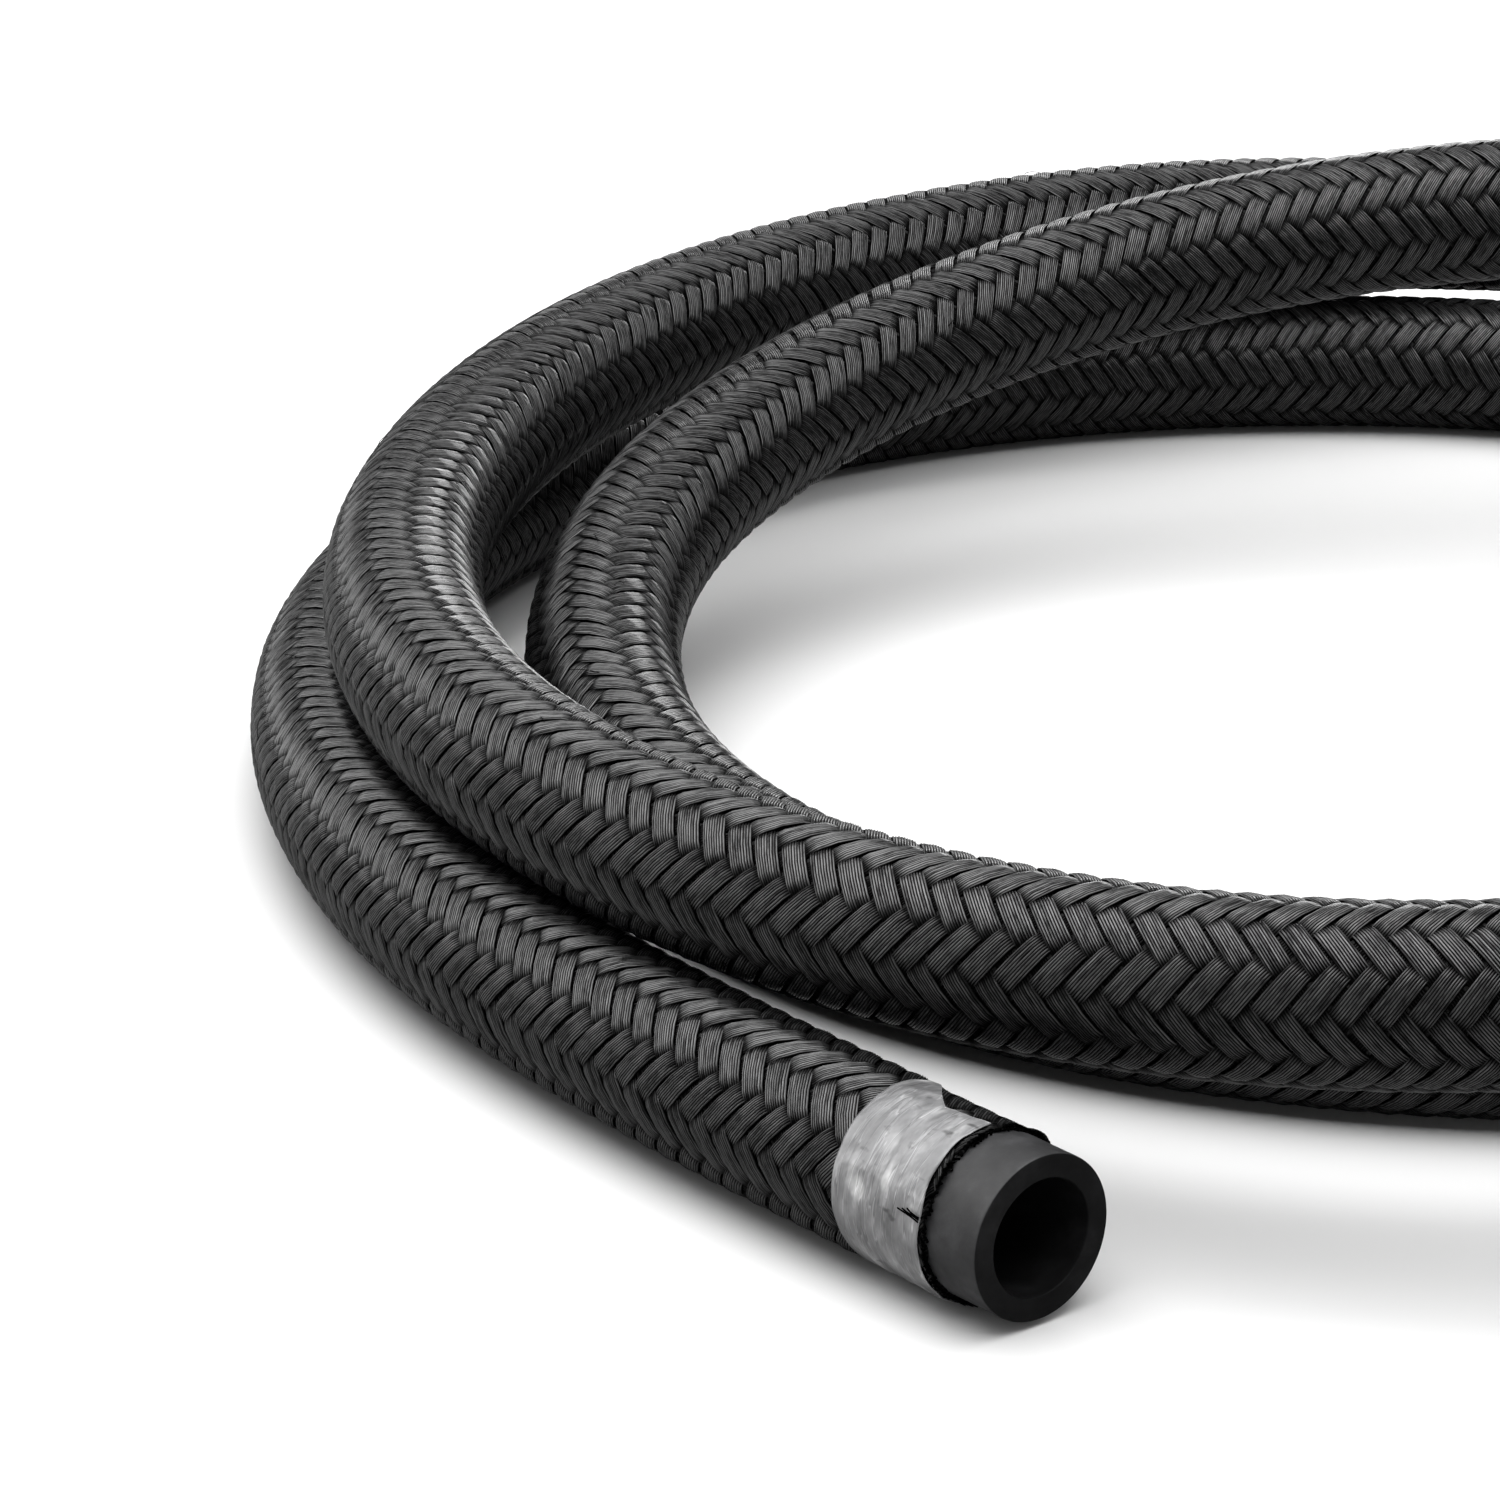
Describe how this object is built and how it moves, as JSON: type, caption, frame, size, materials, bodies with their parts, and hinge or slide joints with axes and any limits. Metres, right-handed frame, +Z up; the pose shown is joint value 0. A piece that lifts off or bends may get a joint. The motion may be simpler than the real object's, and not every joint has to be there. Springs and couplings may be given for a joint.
{
  "type": "hydraulic hose length",
  "caption": "Coiled length of textile-braided rubber hydraulic hose with square-cut, taped ends ready for push-in nipples.",
  "frame": {"origin": "centre of the bounding box's bottom face", "axes": "+Z up from the floor the coil lies on, along the coil's axis; +Y away from the open front where end A points"},
  "size_m": [0.3253, 0.3041, 0.0547],
  "materials": {
    "liner_rubber": "smooth matt rubber",
    "braid_nylon": "glossy black monofilament braid",
    "tape_film": "crinkled glossy film"
  },
  "bodies": {
    "coil": {"liner_coil_1": "liner_rubber", "liner_coil_2": "liner_rubber", "liner_coil_3": "liner_rubber", "liner_coil_4": "liner_rubber", "liner_coil_5": "liner_rubber", "liner_coil_6": "liner_rubber", "braid_jacket_coil_1": "braid_nylon", "braid_jacket_coil_2": "braid_nylon", "braid_jacket_coil_3": "braid_nylon", "braid_jacket_coil_4": "braid_nylon", "braid_jacket_coil_5": "braid_nylon", "braid_jacket_coil_6": "braid_nylon", "liner_a_flex1": "liner_rubber", "braid_jacket_a_flex1": "braid_nylon", "liner_b_flex1": "liner_rubber", "braid_jacket_b_flex1": "braid_nylon"},
    "end_a_link1": {"liner_a_span1": "liner_rubber", "braid_jacket_a_span1": "braid_nylon", "liner_a_flex2": "liner_rubber", "braid_jacket_a_flex2": "braid_nylon"},
    "end_a_link2": {"liner_a_span2": "liner_rubber", "braid_jacket_a_span2": "braid_nylon", "liner_a_flex3": "liner_rubber", "braid_jacket_a_flex3": "braid_nylon"},
    "end_a_link3": {"liner_a_span3": "liner_rubber", "braid_jacket_a_span3": "braid_nylon", "liner_a_flex4": "liner_rubber", "braid_jacket_a_flex4": "braid_nylon"},
    "end_a_tip": {"liner_a_tip": "liner_rubber", "braid_jacket_a_tip": "braid_nylon", "tape_wrap_a": "tape_film"},
    "end_b_link1": {"liner_b_span1": "liner_rubber", "braid_jacket_b_span1": "braid_nylon", "liner_b_flex2": "liner_rubber", "braid_jacket_b_flex2": "braid_nylon"},
    "end_b_link2": {"liner_b_span2": "liner_rubber", "braid_jacket_b_span2": "braid_nylon", "liner_b_flex3": "liner_rubber", "braid_jacket_b_flex3": "braid_nylon"},
    "end_b_link3": {"liner_b_span3": "liner_rubber", "braid_jacket_b_span3": "braid_nylon", "liner_b_flex4": "liner_rubber", "braid_jacket_b_flex4": "braid_nylon"},
    "end_b_tip": {"liner_b_tip": "liner_rubber", "braid_jacket_b_tip": "braid_nylon", "tape_wrap_b": "tape_film"}
  },
  "joints": [
    {"name": "end_a_swing_1", "type": "hinge", "parent": "coil", "child": "end_a_link1", "pos_m": [-0.12957, -0.08347, 0.0087], "axis": [0, 0, -1], "range_deg": [-0.5, 20], "deforming": ["liner_a_flex1", "braid_jacket_a_flex1"]},
    {"name": "end_a_swing_2", "type": "hinge", "parent": "end_a_link1", "child": "end_a_link2", "pos_m": [-0.12181, -0.09512, 0.0087], "axis": [0, 0, -1], "range_deg": [-0.5, 20], "deforming": ["liner_a_flex2", "braid_jacket_a_flex2"]},
    {"name": "end_a_lift_1", "type": "hinge", "parent": "end_a_link2", "child": "end_a_link3", "pos_m": [-0.11352, -0.1064, 0.0087], "axis": [-0.7979, -0.6028, 0], "range_deg": [0, 5], "deforming": ["liner_a_flex3", "braid_jacket_a_flex3"]},
    {"name": "end_a_lift_2", "type": "hinge", "parent": "end_a_link3", "child": "end_a_tip", "pos_m": [-0.1049, -0.11743, 0.0087], "axis": [-0.7755, -0.6313, 0], "range_deg": [0, 5], "deforming": ["liner_a_flex4", "braid_jacket_a_flex4"]},
    {"name": "end_b_swing_1", "type": "hinge", "parent": "coil", "child": "end_b_link1", "pos_m": [0.06741, 0.13993, 0.01777], "axis": [0, 0, 1], "range_deg": [-18, 18], "deforming": ["liner_b_flex1", "braid_jacket_b_flex1"]},
    {"name": "end_b_lift_1", "type": "hinge", "parent": "end_b_link1", "child": "end_b_link2", "pos_m": [0.08662, 0.13581, 0.01404], "axis": [-0.2446, -0.9696, 0], "range_deg": [0, 16], "deforming": ["liner_b_flex2", "braid_jacket_b_flex2"]},
    {"name": "end_b_swing_2", "type": "hinge", "parent": "end_b_link2", "child": "end_b_link3", "pos_m": [0.1056, 0.13033, 0.01094], "axis": [0, 0, 1], "range_deg": [-18, 18], "deforming": ["liner_b_flex3", "braid_jacket_b_flex3"]},
    {"name": "end_b_lift_2", "type": "hinge", "parent": "end_b_link3", "child": "end_b_tip", "pos_m": [0.12428, 0.12361, 0.00872], "axis": [-0.366, -0.9306, 0], "range_deg": [0, 16], "deforming": ["liner_b_flex4", "braid_jacket_b_flex4"]}
  ],
  "couplings": [
    {"joint": "end_a_swing_2", "follows": "end_a_swing_1", "ratio": 1},
    {"joint": "end_a_lift_2", "follows": "end_a_lift_1", "ratio": 1},
    {"joint": "end_b_swing_2", "follows": "end_b_swing_1", "ratio": 1},
    {"joint": "end_b_lift_2", "follows": "end_b_lift_1", "ratio": 1}
  ]
}
